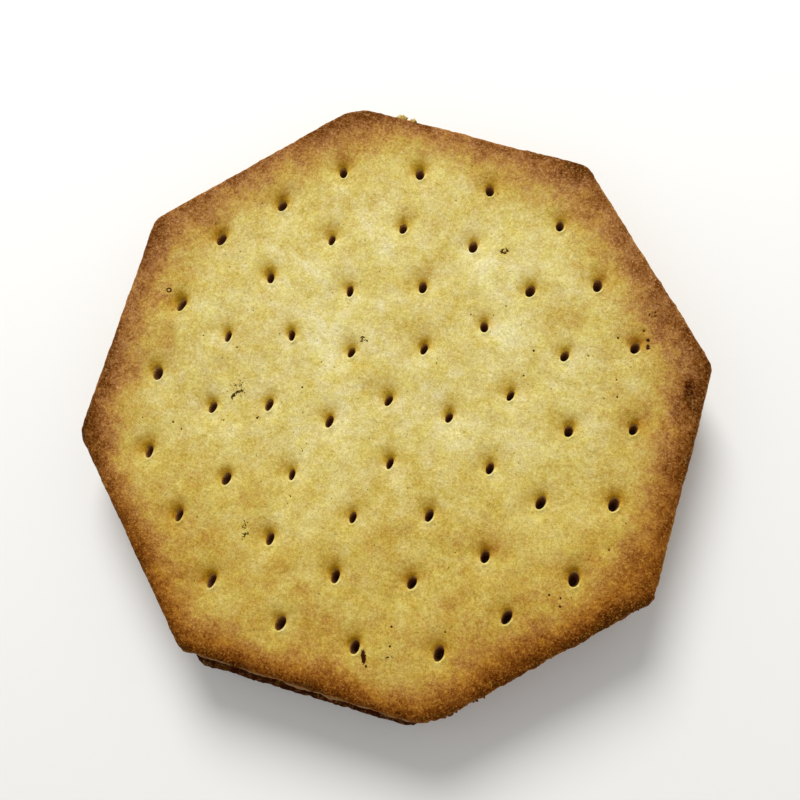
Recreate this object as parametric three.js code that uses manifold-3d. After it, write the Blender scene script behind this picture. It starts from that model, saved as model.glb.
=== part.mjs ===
// Scallion cracker: two docked eight-sided crackers with a thin filling between them.
// Millimetres, +Z up. The origin is under the middle of the whole, on the surface it rests on.
import * as THREE from "three";
import { mergeVertices } from "three/addons/utils/BufferGeometryUtils.js";
import Module from "manifold-3d";

const wasm = await Module();
wasm.setup();

// Crackers: heights are measured up from the inner face to the docked face.
const crackerThickness = 3.4;
const lipHeight = 0.7; // the widest level, close to the inner face
const edgeWave = 0.12; // how far a side strays from straight
const faceSwell = 0.14; // low swells of the upper face between the pins

// Distance of each side from the middle pin, and the degrees it is turned out of square.
// The sides run round from +X towards +Y, seen from the docked face.
const topReach = [30.5, 30.4, 30.25, 30.6, 30.65, 30.35, 29.7, 29.95];
const topTurn = [-0.2, -0.3, -1.0, 0.6, -0.1, -0.2, 0.5, 0.4];
const bottomReach = [30.3, 29.3, 30.2, 29.6, 30.2, 30.6, 30.0, 30.5];
const bottomTurn = [0.2, 0.4, -1.7, 0.3, -0.5, 0.2, 0.6, -0.3];

// Radius of each corner; a corner comes after its side.
const topCornerRadii = [1.7, 2.4, 5.0, 1.9, 2.0, 1.7, 6.5, 1.2];
const bottomCornerRadii = [1.7, 1.7, 1.7, 1.7, 1.7, 1.7, 1.7, 1.7];

// The lower cracker sits a little off, so its edge peeks out on the -Y side.
const bottomShift = new THREE.Vector2(-0.3, -0.9);

// Docking pins: one in the middle, then rings of 5, 10, 15 and 20. Degrees from +X. The pins
// of a ring that are next to a corner can stand nearer the middle of their side.
const pinRings = [
  { pins: 1, radius: 0, firstAngle: 0 },
  { pins: 5, radius: 6.45, firstAngle: 0 },
  { pins: 10, radius: 12.42, firstAngle: 18 },
  { pins: 15, radius: 18.45, firstAngle: 6 },
  { pins: 20, radius: 24.45, firstAngle: 9, followsSides: 0.84, nearerMiddle: 0.93 },
];
const pinsOffMiddle = new THREE.Vector2(-0.03, 0.1); // how far the pins as a whole are off the middle
const pinLength = 1.3; // mouth of a pin hole along its long axis
const pinWidth = 0.84;
const pinLongAxis = 88; // degrees from +X
const pinDepth = 2.5;
const pinTip = 0.45; // share of the mouth left at the bottom of the hole
const dimpleWidth = 2.1; // shallow dent round each hole
const dimpleDepth = 0.22;
const pinSizeSpread = 0.22;
const nextToCorner = 14; // degrees off the middle of a side, beyond which a pin is next to a corner
const pinSeed = 11;

// Filling: squeezed flat, drawn back from the crackers' edges.
const fillingThickness = 1.3;
const fillingReach = 27.6;
const fillingCornerRadius = 9;
const fillingWave = 0.5;
const seamGap = 0.3; // clearance between the filling and each cracker

const sides = 8;
const cornerSteps = 3;
const sideSteps = 5;
const pinSides = 7;

const crackerColor = 0xc9a95c;
const undersideColor = 0xbf9650;
const fillingColor = 0xe9d8aa;

function seededRandom(seed) {
  let state = seed;
  return () => {
    state = (state * 16807) % 2147483647;
    return state / 2147483647;
  };
}

// Corner where two neighbouring sides meet, each given by its reach and normal angle.
function cornerBetween(reachA, angleA, reachB, angleB) {
  const det = Math.sin(angleB - angleA);
  const x = (reachA * Math.sin(angleB) - reachB * Math.sin(angleA)) / det;
  const y = (reachB * Math.cos(angleA) - reachA * Math.cos(angleB)) / det;
  return new THREE.Vector2(x, y);
}

function sideAngle(turns, i) {
  return THREE.MathUtils.degToRad((360 / sides) * i + turns[i % sides]);
}

function corners(reach, turns) {
  return reach.map((distance, i) => {
    const next = (i + 1) % sides;
    return cornerBetween(distance, sideAngle(turns, i), reach[next], sideAngle(turns, i + 1));
  });
}

// Closed outline with rounded corners and slightly wavy sides, anticlockwise.
function outline(reach, turns, radii, wave) {
  const corner = corners(reach, turns);
  const points = [];
  for (let i = 0; i < sides; i++) {
    const from = sideAngle(turns, i);
    const to = sideAngle(turns, i + 1);
    const radius = radii[i];
    const towardsMiddle = radius / Math.cos((to - from) / 2);
    const mid = (from + to) / 2;
    const centre = corner[i].clone();
    centre.x -= towardsMiddle * Math.cos(mid);
    centre.y -= towardsMiddle * Math.sin(mid);
    for (let k = 0; k <= cornerSteps; k++) {
      const angle = from + ((to - from) * k) / cornerSteps;
      const dx = radius * Math.cos(angle);
      const dy = radius * Math.sin(angle);
      points.push(new THREE.Vector2(centre.x + dx, centre.y + dy));
    }
  }
  return withWavySides(points, wave);
}

// Adds the points along each side, between one corner's last point and the next one's first.
function withWavySides(cornerPoints, wave) {
  const perCorner = cornerSteps + 1;
  const points = [];
  cornerPoints.forEach((point, i) => {
    points.push(point);
    if (i % perCorner !== cornerSteps) return;
    const next = cornerPoints[(i + 1) % cornerPoints.length];
    for (let k = 1; k < sideSteps; k++) {
      const along = point.clone().lerp(next, k / sideSteps);
      const outwards = 1 + (wave * Math.sin(1.7 * i + 2.3 * k)) / along.length();
      points.push(along.multiplyScalar(outwards));
    }
  });
  return points;
}

function geometryFrom(positions, indices) {
  const geometry = new THREE.BufferGeometry();
  geometry.setAttribute("position", new THREE.Float32BufferAttribute(positions, 3));
  geometry.setIndex(indices);
  return geometry;
}

// Closed plate: the outline drawn in by each section's inset at that section's height.
// The sections go from the lower middle, out round the rim, to the upper middle.
function plate(points, reach, sections, reliefAt) {
  const positions = [0, 0, sections[0].height];
  for (const { inset, height } of sections) {
    for (const point of points) {
      const { x, y } = point.clone().multiplyScalar(1 - inset / reach);
      positions.push(x, y, height + reliefAt(x, y, inset, height));
    }
  }
  const last = sections[sections.length - 1];
  positions.push(0, 0, last.height + reliefAt(0, 0, reach, last.height));
  return geometryFrom(positions, plateFaces(points.length, sections.length));
}

function plateFaces(count, rings) {
  const faces = [];
  const top = 1 + count * rings;
  for (let i = 0; i < count; i++) {
    const next = (i + 1) % count;
    faces.push(0, 1 + next, 1 + i);
    faces.push(top, top - count + i, top - count + next);
    for (let ring = 0; ring < rings - 1; ring++) {
      const a = 1 + ring * count;
      const b = a + count;
      faces.push(a + i, a + next, b + next);
      faces.push(a + i, b + next, b + i);
    }
  }
  return faces;
}

// Section of a cracker: flat inner face, a lip, then an upright wall that rounds over to the docked face.
function crackerSections() {
  const t = crackerThickness;
  const rim = [
    { inset: 12, height: 0 },
    { inset: 0.45, height: 0 },
    { inset: 0.08, height: 0.25 },
    { inset: 0, height: lipHeight },
    { inset: 0.05, height: 0.46 * t },
    { inset: 0.12, height: 0.73 * t },
    { inset: 0.28, height: 0.88 * t },
    { inset: 0.7, height: 0.95 * t },
    { inset: 2.0, height: 0.99 * t },
    { inset: 4.6, height: t },
  ];
  const face = [10, 17, 25].map((inset) => ({ inset, height: t }));
  return [...rim, ...face];
}

function faceRelief(x, y, inset, height) {
  const onFace = height === crackerThickness ? Math.min(1, inset / 9) : 0;
  const swell = Math.sin(0.34 * x + 0.9) * Math.sin(0.29 * y - 0.4) + 0.5 * Math.sin(0.21 * (x - y));
  return faceSwell * onFace * Math.min(0, swell);
}

function noRelief() {
  return 0;
}

// On the outermost ring the pins run along the sides rather than on a circle.
function pinPlaces() {
  return pinRings.flatMap(({ pins, radius, firstAngle, followsSides = 0, nearerMiddle = 0 }) =>
    Array.from({ length: pins }, (_, j) => {
      const degrees = firstAngle + (360 / pins) * j;
      const offSide = ((degrees + 22.5) % 45) - 22.5;
      const stretch = 1 / Math.cos(THREE.MathUtils.degToRad(offSide)) - 1;
      const r = radius * (1 + followsSides * stretch);
      const shift = Math.abs(offSide) > nextToCorner ? Math.sign(offSide) * nearerMiddle : 0;
      const angle = THREE.MathUtils.degToRad(degrees - shift);
      return new THREE.Vector2(r * Math.cos(angle), r * Math.sin(angle)).add(pinsOffMiddle);
    }),
  );
}

// A pin hole with its dent, as the solid that is taken away. Its mouth is at height 0.
function pinTool(size) {
  const mouth = 0.5;
  const dent = (0.5 * dimpleWidth) / pinWidth;
  const slope = (dent - mouth) / dimpleDepth;
  const clear = 0.3;
  const profile = [
    new THREE.Vector2(0, -pinDepth),
    new THREE.Vector2(mouth * pinTip, -pinDepth),
    new THREE.Vector2(mouth, -dimpleDepth),
    new THREE.Vector2(dent + slope * clear, clear),
    new THREE.Vector2(0, clear),
  ];
  const geometry = new THREE.LatheGeometry(profile, pinSides);
  geometry.rotateX(Math.PI / 2);
  geometry.scale(pinLength * size, pinWidth * size, 1);
  return geometry;
}

function solidOf(geometry) {
  const bare = geometry.clone();
  bare.deleteAttribute("normal");
  bare.deleteAttribute("uv");
  const merged = mergeVertices(bare, 1e-4);
  const mesh = new wasm.Mesh({
    numProp: 3,
    vertProperties: merged.attributes.position.array,
    triVerts: new Uint32Array(merged.index.array),
  });
  return new wasm.Manifold(mesh);
}

function geometryOf(solid) {
  const { vertProperties, triVerts } = solid.getMesh();
  return geometryFrom(vertProperties, Array.from(triVerts));
}

function dock(solid, seed) {
  const random = seededRandom(seed);
  let docked = solid;
  for (const place of pinPlaces()) {
    const size = 1 + pinSizeSpread * (random() - 0.5);
    const tool = pinTool(size);
    tool.rotateZ(THREE.MathUtils.degToRad(pinLongAxis + 20 * (random() - 0.5)));
    tool.translate(place.x, place.y, crackerThickness);
    docked = docked.subtract(solidOf(tool));
  }
  return docked;
}

function crackerGeometry(reach, turns, radii, reliefAt, seed) {
  const points = outline(reach, turns, radii, edgeWave);
  const body = plate(points, reach[0], crackerSections(), reliefAt);
  return geometryOf(dock(solidOf(body), seed));
}

function fillingGeometry() {
  const reach = new Array(sides).fill(fillingReach);
  const turns = new Array(sides).fill(0);
  const radii = new Array(sides).fill(fillingCornerRadius);
  const points = outline(reach, turns, radii, fillingWave);
  const half = fillingThickness / 2;
  const sections = [
    { inset: 0.7, height: -half },
    { inset: 0.15, height: -0.6 * half },
    { inset: 0, height: 0 },
    { inset: 0.15, height: 0.6 * half },
    { inset: 0.7, height: half },
  ];
  return plate(points, fillingReach, sections, noRelief);
}

function bakedMaterial(color) {
  return new THREE.MeshStandardMaterial({ color, roughness: 0.8, metalness: 0 });
}

function namedMesh(name, geometry, material) {
  const mesh = new THREE.Mesh(geometry, material);
  mesh.name = name;
  return mesh;
}

function bottomCracker() {
  const geometry = crackerGeometry(bottomReach, bottomTurn, bottomCornerRadii, noRelief, pinSeed + 1);
  const mesh = namedMesh("bottom_cracker", geometry, bakedMaterial(undersideColor));
  mesh.rotation.x = Math.PI;
  mesh.position.set(bottomShift.x, bottomShift.y, crackerThickness);
  return mesh;
}

function filling() {
  const mesh = namedMesh("filling", fillingGeometry(), bakedMaterial(fillingColor));
  const height = crackerThickness + seamGap + fillingThickness / 2;
  mesh.position.set(bottomShift.x / 2, bottomShift.y / 2, height);
  return mesh;
}

function topCracker() {
  const geometry = crackerGeometry(topReach, topTurn, topCornerRadii, faceRelief, pinSeed);
  const mesh = namedMesh("top_cracker", geometry, bakedMaterial(crackerColor));
  mesh.position.z = crackerThickness + fillingThickness + 2 * seamGap;
  return mesh;
}

// Moves the whole so that the middle of its box is over the origin.
function centred(group) {
  const middle = new THREE.Box3().setFromObject(group, true).getCenter(new THREE.Vector3());
  for (const mesh of group.children) {
    mesh.position.x -= middle.x;
    mesh.position.y -= middle.y;
  }
  return group;
}

const cracker = new THREE.Group();
cracker.add(bottomCracker(), filling(), topCracker());

export default centred(cracker);
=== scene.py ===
import math
import random

import bmesh
import bpy
import numpy as np
from mathutils import Matrix, Vector, noise
from mathutils.geometry import delaunay_2d_cdt


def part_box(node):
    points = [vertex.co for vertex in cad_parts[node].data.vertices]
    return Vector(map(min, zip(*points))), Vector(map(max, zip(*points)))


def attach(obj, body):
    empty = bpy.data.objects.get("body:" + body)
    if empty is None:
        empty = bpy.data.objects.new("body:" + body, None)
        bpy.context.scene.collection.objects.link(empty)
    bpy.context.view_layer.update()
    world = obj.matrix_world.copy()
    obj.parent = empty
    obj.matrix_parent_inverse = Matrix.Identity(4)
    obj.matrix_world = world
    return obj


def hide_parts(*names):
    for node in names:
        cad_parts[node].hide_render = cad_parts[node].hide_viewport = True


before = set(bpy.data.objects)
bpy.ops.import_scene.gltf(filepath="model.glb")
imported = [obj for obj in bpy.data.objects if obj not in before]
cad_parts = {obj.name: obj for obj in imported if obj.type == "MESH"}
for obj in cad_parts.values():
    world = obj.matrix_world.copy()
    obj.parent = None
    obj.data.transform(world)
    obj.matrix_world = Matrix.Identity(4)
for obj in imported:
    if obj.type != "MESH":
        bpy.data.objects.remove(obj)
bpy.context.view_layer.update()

mm = 0.001
print("frame loaded:", sorted(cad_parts))

topLow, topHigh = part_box("top_cracker")
_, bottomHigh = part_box("bottom_cracker")
fillingLow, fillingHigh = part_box("filling")


# a few helpers

def toLinear(hexColor):
    # sRGB hex to the linear colour that shaders read
    channels = [int(hexColor[i:i + 2], 16) / 255 for i in (1, 3, 5)]
    linear = [c / 12.92 if c <= 0.04045 else ((c + 0.055) / 1.055) ** 2.4 for c in channels]
    return (*linear, 1.0)


def addNode(tree, kind, settings=None, values=None, links=None, stops=()):
    # one node: its settings, its socket values, the sockets that feed it, and the colours of a ramp
    node = tree.nodes.new(kind)
    for name, value in (settings or {}).items():
        setattr(node, name, value)
    for name, value in (values or {}).items():
        node.inputs[name].default_value = value
    for name, source in (links or {}).items():
        tree.links.new(source, node.inputs[name])
    while stops and len(node.color_ramp.elements) < len(stops):
        node.color_ramp.elements.new(0.5)
    for element, (place, hexColor) in zip(node.color_ramp.elements if stops else (), stops):
        element.position, element.color = place, toLinear(hexColor)
    return node


def newMaterial(name):
    material = bpy.data.materials.new(name)
    material.use_nodes = True
    material.node_tree.nodes.clear()
    return material, material.node_tree


def makePiece(name, verts, faces, material, smooth=True):
    mesh = bpy.data.meshes.new(name)
    mesh.from_pydata([tuple(v) for v in verts], [], [tuple(f) for f in faces])
    mesh.update()
    mesh.polygons.foreach_set("use_smooth", [smooth] * len(mesh.polygons))
    mesh.materials.append(material)
    piece = bpy.data.objects.new(name, mesh)
    bpy.context.scene.collection.objects.link(piece)
    return piece


def setAttribute(piece, name, values):
    attribute = piece.data.attributes.new(name, "FLOAT", "POINT")
    attribute.data.foreach_set("value", np.asarray(values, dtype=np.float32))


def noiseAt(points, size, seed):
    # smooth noise at each point, about -0.5 to 0.5; size is the width of one lump in mm
    shift = Vector((seed * 7.3, seed * -3.1, seed * 5.7))
    flat = points.shape[1] == 2
    return np.array([noise.noise(Vector((*p, 0) if flat else p) / size + shift) for p in points])


def smoothStep(x):
    x = np.clip(x, 0, 1)
    return x * x * (3 - 2 * x)


def along(degrees):
    return np.array((math.cos(math.radians(degrees)), math.sin(math.radians(degrees))))


# outline of a cracker, in mm from its middle pin, sides in order from +X turning to +Y

topShape = {
    "reach": [30.5, 30.4, 30.25, 30.6, 30.65, 30.35, 29.7, 29.95],
    "turn": [-0.2, -0.3, -1.0, 0.6, -0.1, -0.2, 0.5, 0.4],  # degrees out of square
    "lipOut": [0, 0, 0, 0, 0, 0, 0.33, 0],  # how far the thin lower lip stands out on each side
    "crumbly": [0.4, 0.5, 0.5, 0.4, 0.5, 0.4, 0.85, 0.4],  # how much pale crumb shows low on the wall
    # the dark wall on a side is painted shade where the other cracker shadows it, with some scorching
    "scorchedAndShaded": [0] * 8,  # how dark the wall has gone
    "cornerRadii": [1.7, 2.4, 5.0, 1.9, 2.0, 1.7, 6.5, 1.2],  # each corner comes after its side
    "ragged": [0.35, 0.35, 0.35, 0.3, 0.35, 0.4, 0.8, 1.7],  # how crumbly each side's edge is
    "browned": [0.69, 0.60, 0.73, 0.70, 0.71, 0.75, 0.75, 0.83],  # how dark each side has baked
    "brownWidth": [3.4, 3.8, 3.6, 3.9, 3.8, 2.6, 2.4, 2.9],
    "golden": [0.16, 0.12, 0.08, 0.08, 0.10, 0.11, 0.11, 0.15],  # the wide golden band inside that
    "toasted": [
        # places that caught more heat, or less: place, radius, strength
        ((30.3, 12.6), 6.0, 0.23), ((12.6, 30.3), 6.5, 0.25), ((-12.6, 30.3), 5.5, 0.12),
        ((-30.3, 12.6), 4.5, 0.09), ((-30.3, -12.6), 6.5, 0.17), ((12.6, -30.3), 5.0, -0.09),
        ((30.3, -12.6), 4.5, -0.04),
        ((-2.9, -20.7), 1.0, 0.22), ((-12.5, -5.4), 0.5, 0.10), ((-25.6, 4.0), 1.2, 0.16),
        ((23.6, 12.6), 1.3, 0.16), ((15.3, 13.4), 1.7, 0.12), ((25.5, -2.0), 1.6, 0.07),
        ((13.0, -10.2), 2.0, 0.17), ((7.2, 18.3), 0.9, 0.08), ((28.6, 9.2), 1.4, 0.20),
        ((3.4, -14.2), 1.8, 0.06), ((-14.7, -17.5), 2.2, 0.08), ((12.5, -17.0), 2.0, 0.07),
        ((-25.0, 8.8), 1.8, 0.05), ((-24.0, -0.6), 1.8, 0.06), ((-2.8, 0.9), 1.2, 0.08),
        ((9.6, 9.8), 2.2, -0.07), ((-8.9, 3.0), 2.5, -0.05), ((11.0, -24.4), 2.2, -0.15),
        ((-4.4, -25.0), 2.2, -0.15), ((2.5, -6.5), 2.6, -0.12), ((23.0, -7.0), 2.0, -0.11),
        ((-10.5, -21.0), 2.0, 0.11), ((7.8, -21.6), 1.8, 0.10), ((18.6, -10.5), 2.0, 0.12),
        ((-11.5, 17.5), 2.0, 0.11), ((-7.5, -11.8), 2.0, -0.10), ((16.0, 6.5), 2.0, -0.10),
    ],
    "middlePin": (0.0895, 0.4875),
    "innerFace": topLow.z / mm,
    "seed": 3,
}
bottomShape = {
    "reach": [30.3, 29.3, 30.2, 29.6, 30.2, 30.6, 30.0, 30.5],
    "turn": [0.2, 0.4, -1.7, 0.3, -0.5, 0.2, 0.6, -0.3],
    "lipOut": [0] * 8,
    # the third side lies under the upper cracker's edge: more brown, no pale crumb and a dark wall, painted
    # shade with some scorching
    "crumbly": [0.5, 0.2, 0, 0.2, 0.5, 0.4, 0.5, 0.4],
    "scorchedAndShaded": [0, 0.25, 0.8, 0.25, 0, 0, 0, 0],
    "cornerRadii": [1.7] * 8,
    "ragged": [0.8, 1.0, 1.2, 0.8, 0.7, 0.9, 0.8, 0.9],
    "browned": [0.54, 0.58, 0.66, 0.56, 0.50, 0.56, 0.52, 0.50],
    "brownWidth": [3.0, 3.2, 3.0, 2.8, 3.4, 3.0, 2.8, 3.2],
    "golden": [0.12, 0.14, 0.14, 0.12, 0.1, 0.12, 0.12, 0.1],
    "toasted": [],
    "middlePin": (-0.2105, -0.4125),
    "innerFace": bottomHigh.z / mm,
    "seed": 8,
}
slab = {
    "thickness": 3.4,
    "faceInset": 3.0,  # where the triangles of the face end and the rings of the rim begin
    "faceStep": 0.29,  # between points of the face
    "pointsRound": 1000,  # along the edge
    "faceReach": 33,
    "swell": 0.14,  # low waves of the docked face, full from this far in
    "swellFrom": 9,
    "waver": (7.0, 0.09),  # width and height of the edge's waves
    "nicks": [(1.1, 0.07), (0.45, 0.06)],
    "waves": [(5.2, 0.13), (2.5, 0.07), (1.15, 0.04), (0.6, 0.025)],  # width and height of its lumps
    # section of the rim: drawn in from the edge, and height over the inner face
    "rim": [(12.0, 0.0), (4.0, 0.0), (1.2, 0.0), (0.45, 0.02), (0.08, 0.25), (0.0, 0.7), (0.05, 1.56),
            (0.12, 2.5), (0.26, 2.97), (0.58, 3.21), (1.25, 3.33), (2.6, 3.39), (4.6, 3.4)],
    "lipHeight": 0.65,
    "lipSpread": 0.32,
}


def sideAngles(shape):
    return [math.radians(45 * i + turn) for i, turn in enumerate(shape["turn"])]


def crossing(reachA, angleA, reachB, angleB):
    det = math.sin(angleB - angleA)
    x = (reachA * math.sin(angleB) - reachB * math.sin(angleA)) / det
    y = (reachB * math.cos(angleA) - reachA * math.cos(angleB)) / det
    return np.array((x, y))


def sideDistances(shape, xy):
    # from each point to each of the eight sides
    angles = np.array(sideAngles(shape))
    normals = np.stack([np.cos(angles), np.sin(angles)], axis=1)
    return np.array(shape["reach"])[None, :] - xy @ normals.T


def outlinePoints(shape, count):
    # eight sides joined by small arcs, as evenly spaced points
    angles, reach = sideAngles(shape), shape["reach"]
    dense = []
    for i, radius in enumerate(shape["cornerRadii"]):
        j = (i + 1) % 8
        nextAngle = angles[j] + (2 * math.pi if j == 0 else 0)
        corner = crossing(reach[i], angles[i], reach[j], nextAngle)
        middle = (angles[i] + nextAngle) / 2
        back = radius / math.cos((nextAngle - angles[i]) / 2)
        centre = corner - back * np.array((math.cos(middle), math.sin(middle)))
        for angle in np.linspace(angles[i], nextAngle, 13):
            dense.append(centre + radius * np.array((math.cos(angle), math.sin(angle))))
    dense = np.array(dense + dense[:1])
    length = np.concatenate([[0], np.cumsum(np.hypot(*np.diff(dense, axis=0).T))])
    wanted = np.linspace(0, length[-1], count, endpoint=False)
    return np.stack([np.interp(wanted, length, dense[:, k]) for k in (0, 1)], axis=1)


def raggedEdge(shape, points):
    # a hand-cut waver, with crumbly nicks where the side is ragged
    rag = np.exp(-np.maximum(sideDistances(shape, points), 0)) @ np.array(shape["ragged"])
    waver = slab["waver"][1] * noiseAt(points, slab["waver"][0], shape["seed"])
    nicks = sum(height * noiseAt(points, width, shape["seed"] + 1 + k)
                for k, (width, height) in enumerate(slab["nicks"]))
    return points * (1 + (waver + rag * nicks) / np.hypot(*points.T))[:, None]


def insetOf(shape, xy):
    # how far in from the edge, measured along the line from the middle
    edge = shape["edge"]
    angles = np.arctan2(edge[:, 1], edge[:, 0])
    order = np.argsort(angles)
    lengths = np.hypot(*edge.T)[order]
    radius = np.interp(np.arctan2(xy[:, 1], xy[:, 0]), angles[order], lengths, period=2 * math.pi)
    return (1 - np.hypot(*xy.T) / radius) * shape["reach"][0]


def smoothCurve(points, steps):
    # smooth curve through all the points
    padded = [points[0]] + list(points) + [points[-1]]
    curve = []
    for a, b, c, d in zip(padded, padded[1:], padded[2:], padded[3:]):
        a, b, c, d = (np.array(p, dtype=float) for p in (a, b, c, d))
        for t in np.linspace(0, 1, steps, endpoint=False):
            square = (2 * a - 5 * b + 4 * c - d) * t ** 2
            cube = (3 * b - 3 * c + d - a) * t ** 3
            curve.append(0.5 * (2 * b + (c - a) * t + square + cube))
    curve.append(np.array(points[-1], dtype=float))
    return np.array(curve)


rimCurve = smoothCurve(slab["rim"], 24)
rimWidest = int(np.argmin(rimCurve[:, 0]))


def slabHeight(inset):
    # height of the docked side over the inner face, by how far in from the edge
    upper = rimCurve[rimWidest:]
    order = np.argsort(upper[:, 0])
    return np.interp(inset, upper[order, 0], upper[order, 1], right=slab["thickness"])


# docking pins: oval holes in rings, each at the foot of a slanted funnel

pins = {
    # how many, radius, first angle, how far they follow the sides, nearer the middle of their side in degrees
    "rings": [(1, 0, 0, 0, 0), (5, 6.45, 0, 0, 0), (10, 12.42, 18, 0, 0), (15, 18.45, 6, 0, 0),
              (20, 24.45, 9, 0.84, 0.93)],
    "nextToCorner": 14,  # degrees off the middle of a side
    "length": 1.46,
    "width": 0.82,
    "outerLonger": (0.89, 0.145),  # share of the length in the middle, and what the outer ring adds to it
    "outerWider": (0.90, 0.29),
    "longAxis": 93,  # degrees from +X
    "across": 16.7,  # the pins stood fanned, this way and square to it, in degrees for each 25 mm
    "axisFan": (-9, -14),
    "dragFan": (-14, 8),
    "fanReach": 25,
    "axisSpread": 24,
    "sizeSpread": 0.20,
    "slimSpread": 0.24,
    "drawnSpread": 0.6,  # how unevenly the funnels are drawn, and how much less across the face
    "drawnLess": 0.18,
    # painted light on the lit side of each dent, brighter lower down
    "paintedLight": (1.4, 0.8),  # the unshaded side of a dent, in the middle, and what lower down adds
    "offMiddle": (-0.03, 0.10),  # how far the pins as a whole are off the middle
    "depth": 2.5,
    "drag": 116,  # degrees from +X: the side that the pin came from, where it drew the dough down with it
    "funnelDepth": 0.50,
    "funnelReach": (0.10, 0.50),
    "dishDepth": 0.20,
    "dishRadius": 2.6,
    "lip": 0.16,  # the little raised edge on the other side
    "lipSide": -52,
    "lipOff": 0.10,  # from the mouth to its crest, then its width towards the hole and away from it
    "lipWidth": (0.08, 0.26),
    "ringRadius": 1.4,
    "ringShares": (0, 0.035, 0.08, 0.14, 0.23, 0.36, 0.54, 0.76, 1),
    "pointsRound": 26,
    # rings of the wall: size, depth, and how far they lie off the mouth, as the pin leant
    "wallRings": [(0.97, 0.05, 0.02), (0.91, 0.20, 0.12), (0.85, 0.42, 0.24), (0.78, 0.75, 0.33),
                  (0.70, 1.2, 0.38), (0.56, 1.8, 0.42), (0.28, 2.4, 0.44)],
    "seed": 11,
}


def pinPlaces():
    places = []
    for count, radius, firstAngle, followsSides, nearerMiddle in pins["rings"]:
        for j in range(count):
            degrees = firstAngle + 360 / count * j
            offSide = (degrees + 22.5) % 45 - 22.5
            r = radius * (1 + followsSides * (1 / math.cos(math.radians(offSide)) - 1))
            shift = math.copysign(nearerMiddle, offSide) if abs(offSide) > pins["nextToCorner"] else 0
            places.append(r * along(degrees - shift) + np.array(pins["offMiddle"]))
    return places


def pinHoles(shape):
    rng = random.Random(pins["seed"] + shape["seed"])
    holes = []
    for place in pinPlaces():
        across, down = (place @ along(pins["across"] + quarter) / pins["fanReach"] for quarter in (0, -90))
        axisFan, dragFan = (a * across + b * down for a, b in (pins["axisFan"], pins["dragFan"]))
        turn = math.radians(pins["longAxis"] + axisFan + pins["axisSpread"] * (rng.random() - 0.5))
        size = 1 + pins["sizeSpread"] * (rng.random() - 0.5)
        slim = 1 + pins["slimSpread"] * (rng.random() - 0.5)
        outwards = across ** 2 + down ** 2
        longer, wider = (a + b * outwards for a, b in (pins["outerLonger"], pins["outerWider"]))
        half = (0.5 * pins["length"] * size * longer, 0.5 * pins["width"] * size * slim * wider)
        drawn = (1 + pins["drawnSpread"] * (rng.random() - 0.5)) * (1 - pins["drawnLess"] * across)
        holes.append({"place": place, "turn": turn, "half": half, "drawn": drawn,
                      "drag": pins["drag"] + dragFan, "paintedLight": pins["paintedLight"][0] + pins["paintedLight"][1] * down})
    return holes


def holeRing(hole, share):
    # points round a hole: share 0 is its oval mouth, share 1 a circle well outside
    angles = np.linspace(0, 2 * math.pi, pins["pointsRound"], endpoint=False)
    circle = np.stack([np.cos(angles), np.sin(angles)], axis=1)
    oval = circle * np.array(hole["half"])
    ring = oval + (circle * pins["ringRadius"] - oval) * share
    c, s = math.cos(hole["turn"]), math.sin(hole["turn"])
    return ring @ np.array(((c, s), (-s, c))) + hole["place"]


def ovalDistance(hole, xy):
    # 1 on the mouth of the hole, less inside
    c, s = math.cos(hole["turn"]), math.sin(hole["turn"])
    x, y = (xy - hole["place"]).T
    return np.hypot((x * c + y * s) / hole["half"][0], (y * c - x * s) / hole["half"][1])


def drawnDown(holes, xy):
    # how far the face is drawn down round the holes, the painted shade on the drawn-down side of each funnel,
    # and the painted light on its other side and on the lip
    depth, share, paintedLight = np.zeros(len(xy)), np.zeros(len(xy)), np.zeros(len(xy))
    for hole in holes:
        offset = xy - hole["place"]
        away = np.hypot(*offset.T)
        near = away < pins["dishRadius"]
        offset, away = offset[near], away[near]
        beyond = away * np.maximum(0, 1 - 1 / np.maximum(ovalDistance(hole, xy[near]), 0.5))
        drag = 0.5 + 0.5 * (offset @ along(hole["drag"])) / np.maximum(away, 1e-6)
        reach, further = pins["funnelReach"]
        steep = (0.03 + 0.97 * drag) * np.exp(-beyond / (reach + further * drag)) * hole["drawn"]
        dish = 1 - smoothStep(away / pins["dishRadius"])
        lipShare = np.maximum(0, (offset @ along(pins["lipSide"])) / np.maximum(away, 1e-6)) ** 2
        lipWidth = np.where(beyond < pins["lipOff"], *pins["lipWidth"])
        lip = lipShare * np.exp(-((beyond - pins["lipOff"]) / lipWidth) ** 2)
        depth[near] += pins["funnelDepth"] * steep + pins["dishDepth"] * dish - pins["lip"] * lip
        # painted shade: darkest on the steep drawn-down side of each funnel, with some browning in a faint
        # ring round every hole
        shade = steep + 0.4 * dish * drag ** 2 + 0.12 * np.exp(-beyond / 0.6)
        share[near] = np.maximum(share[near], np.clip(shade, 0, 1))
        # painted light on the lit side of the dish, and a painted highlight on the lip next to the mouth
        paintedLight[near] += hole["paintedLight"] * dish * (1 - drag) ** 2 + 3.5 * lip * (beyond < 0.14)
    return depth, share, paintedLight


# marks in the crust: blisters, scabs, craters and pricks, as the face shows them

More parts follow.
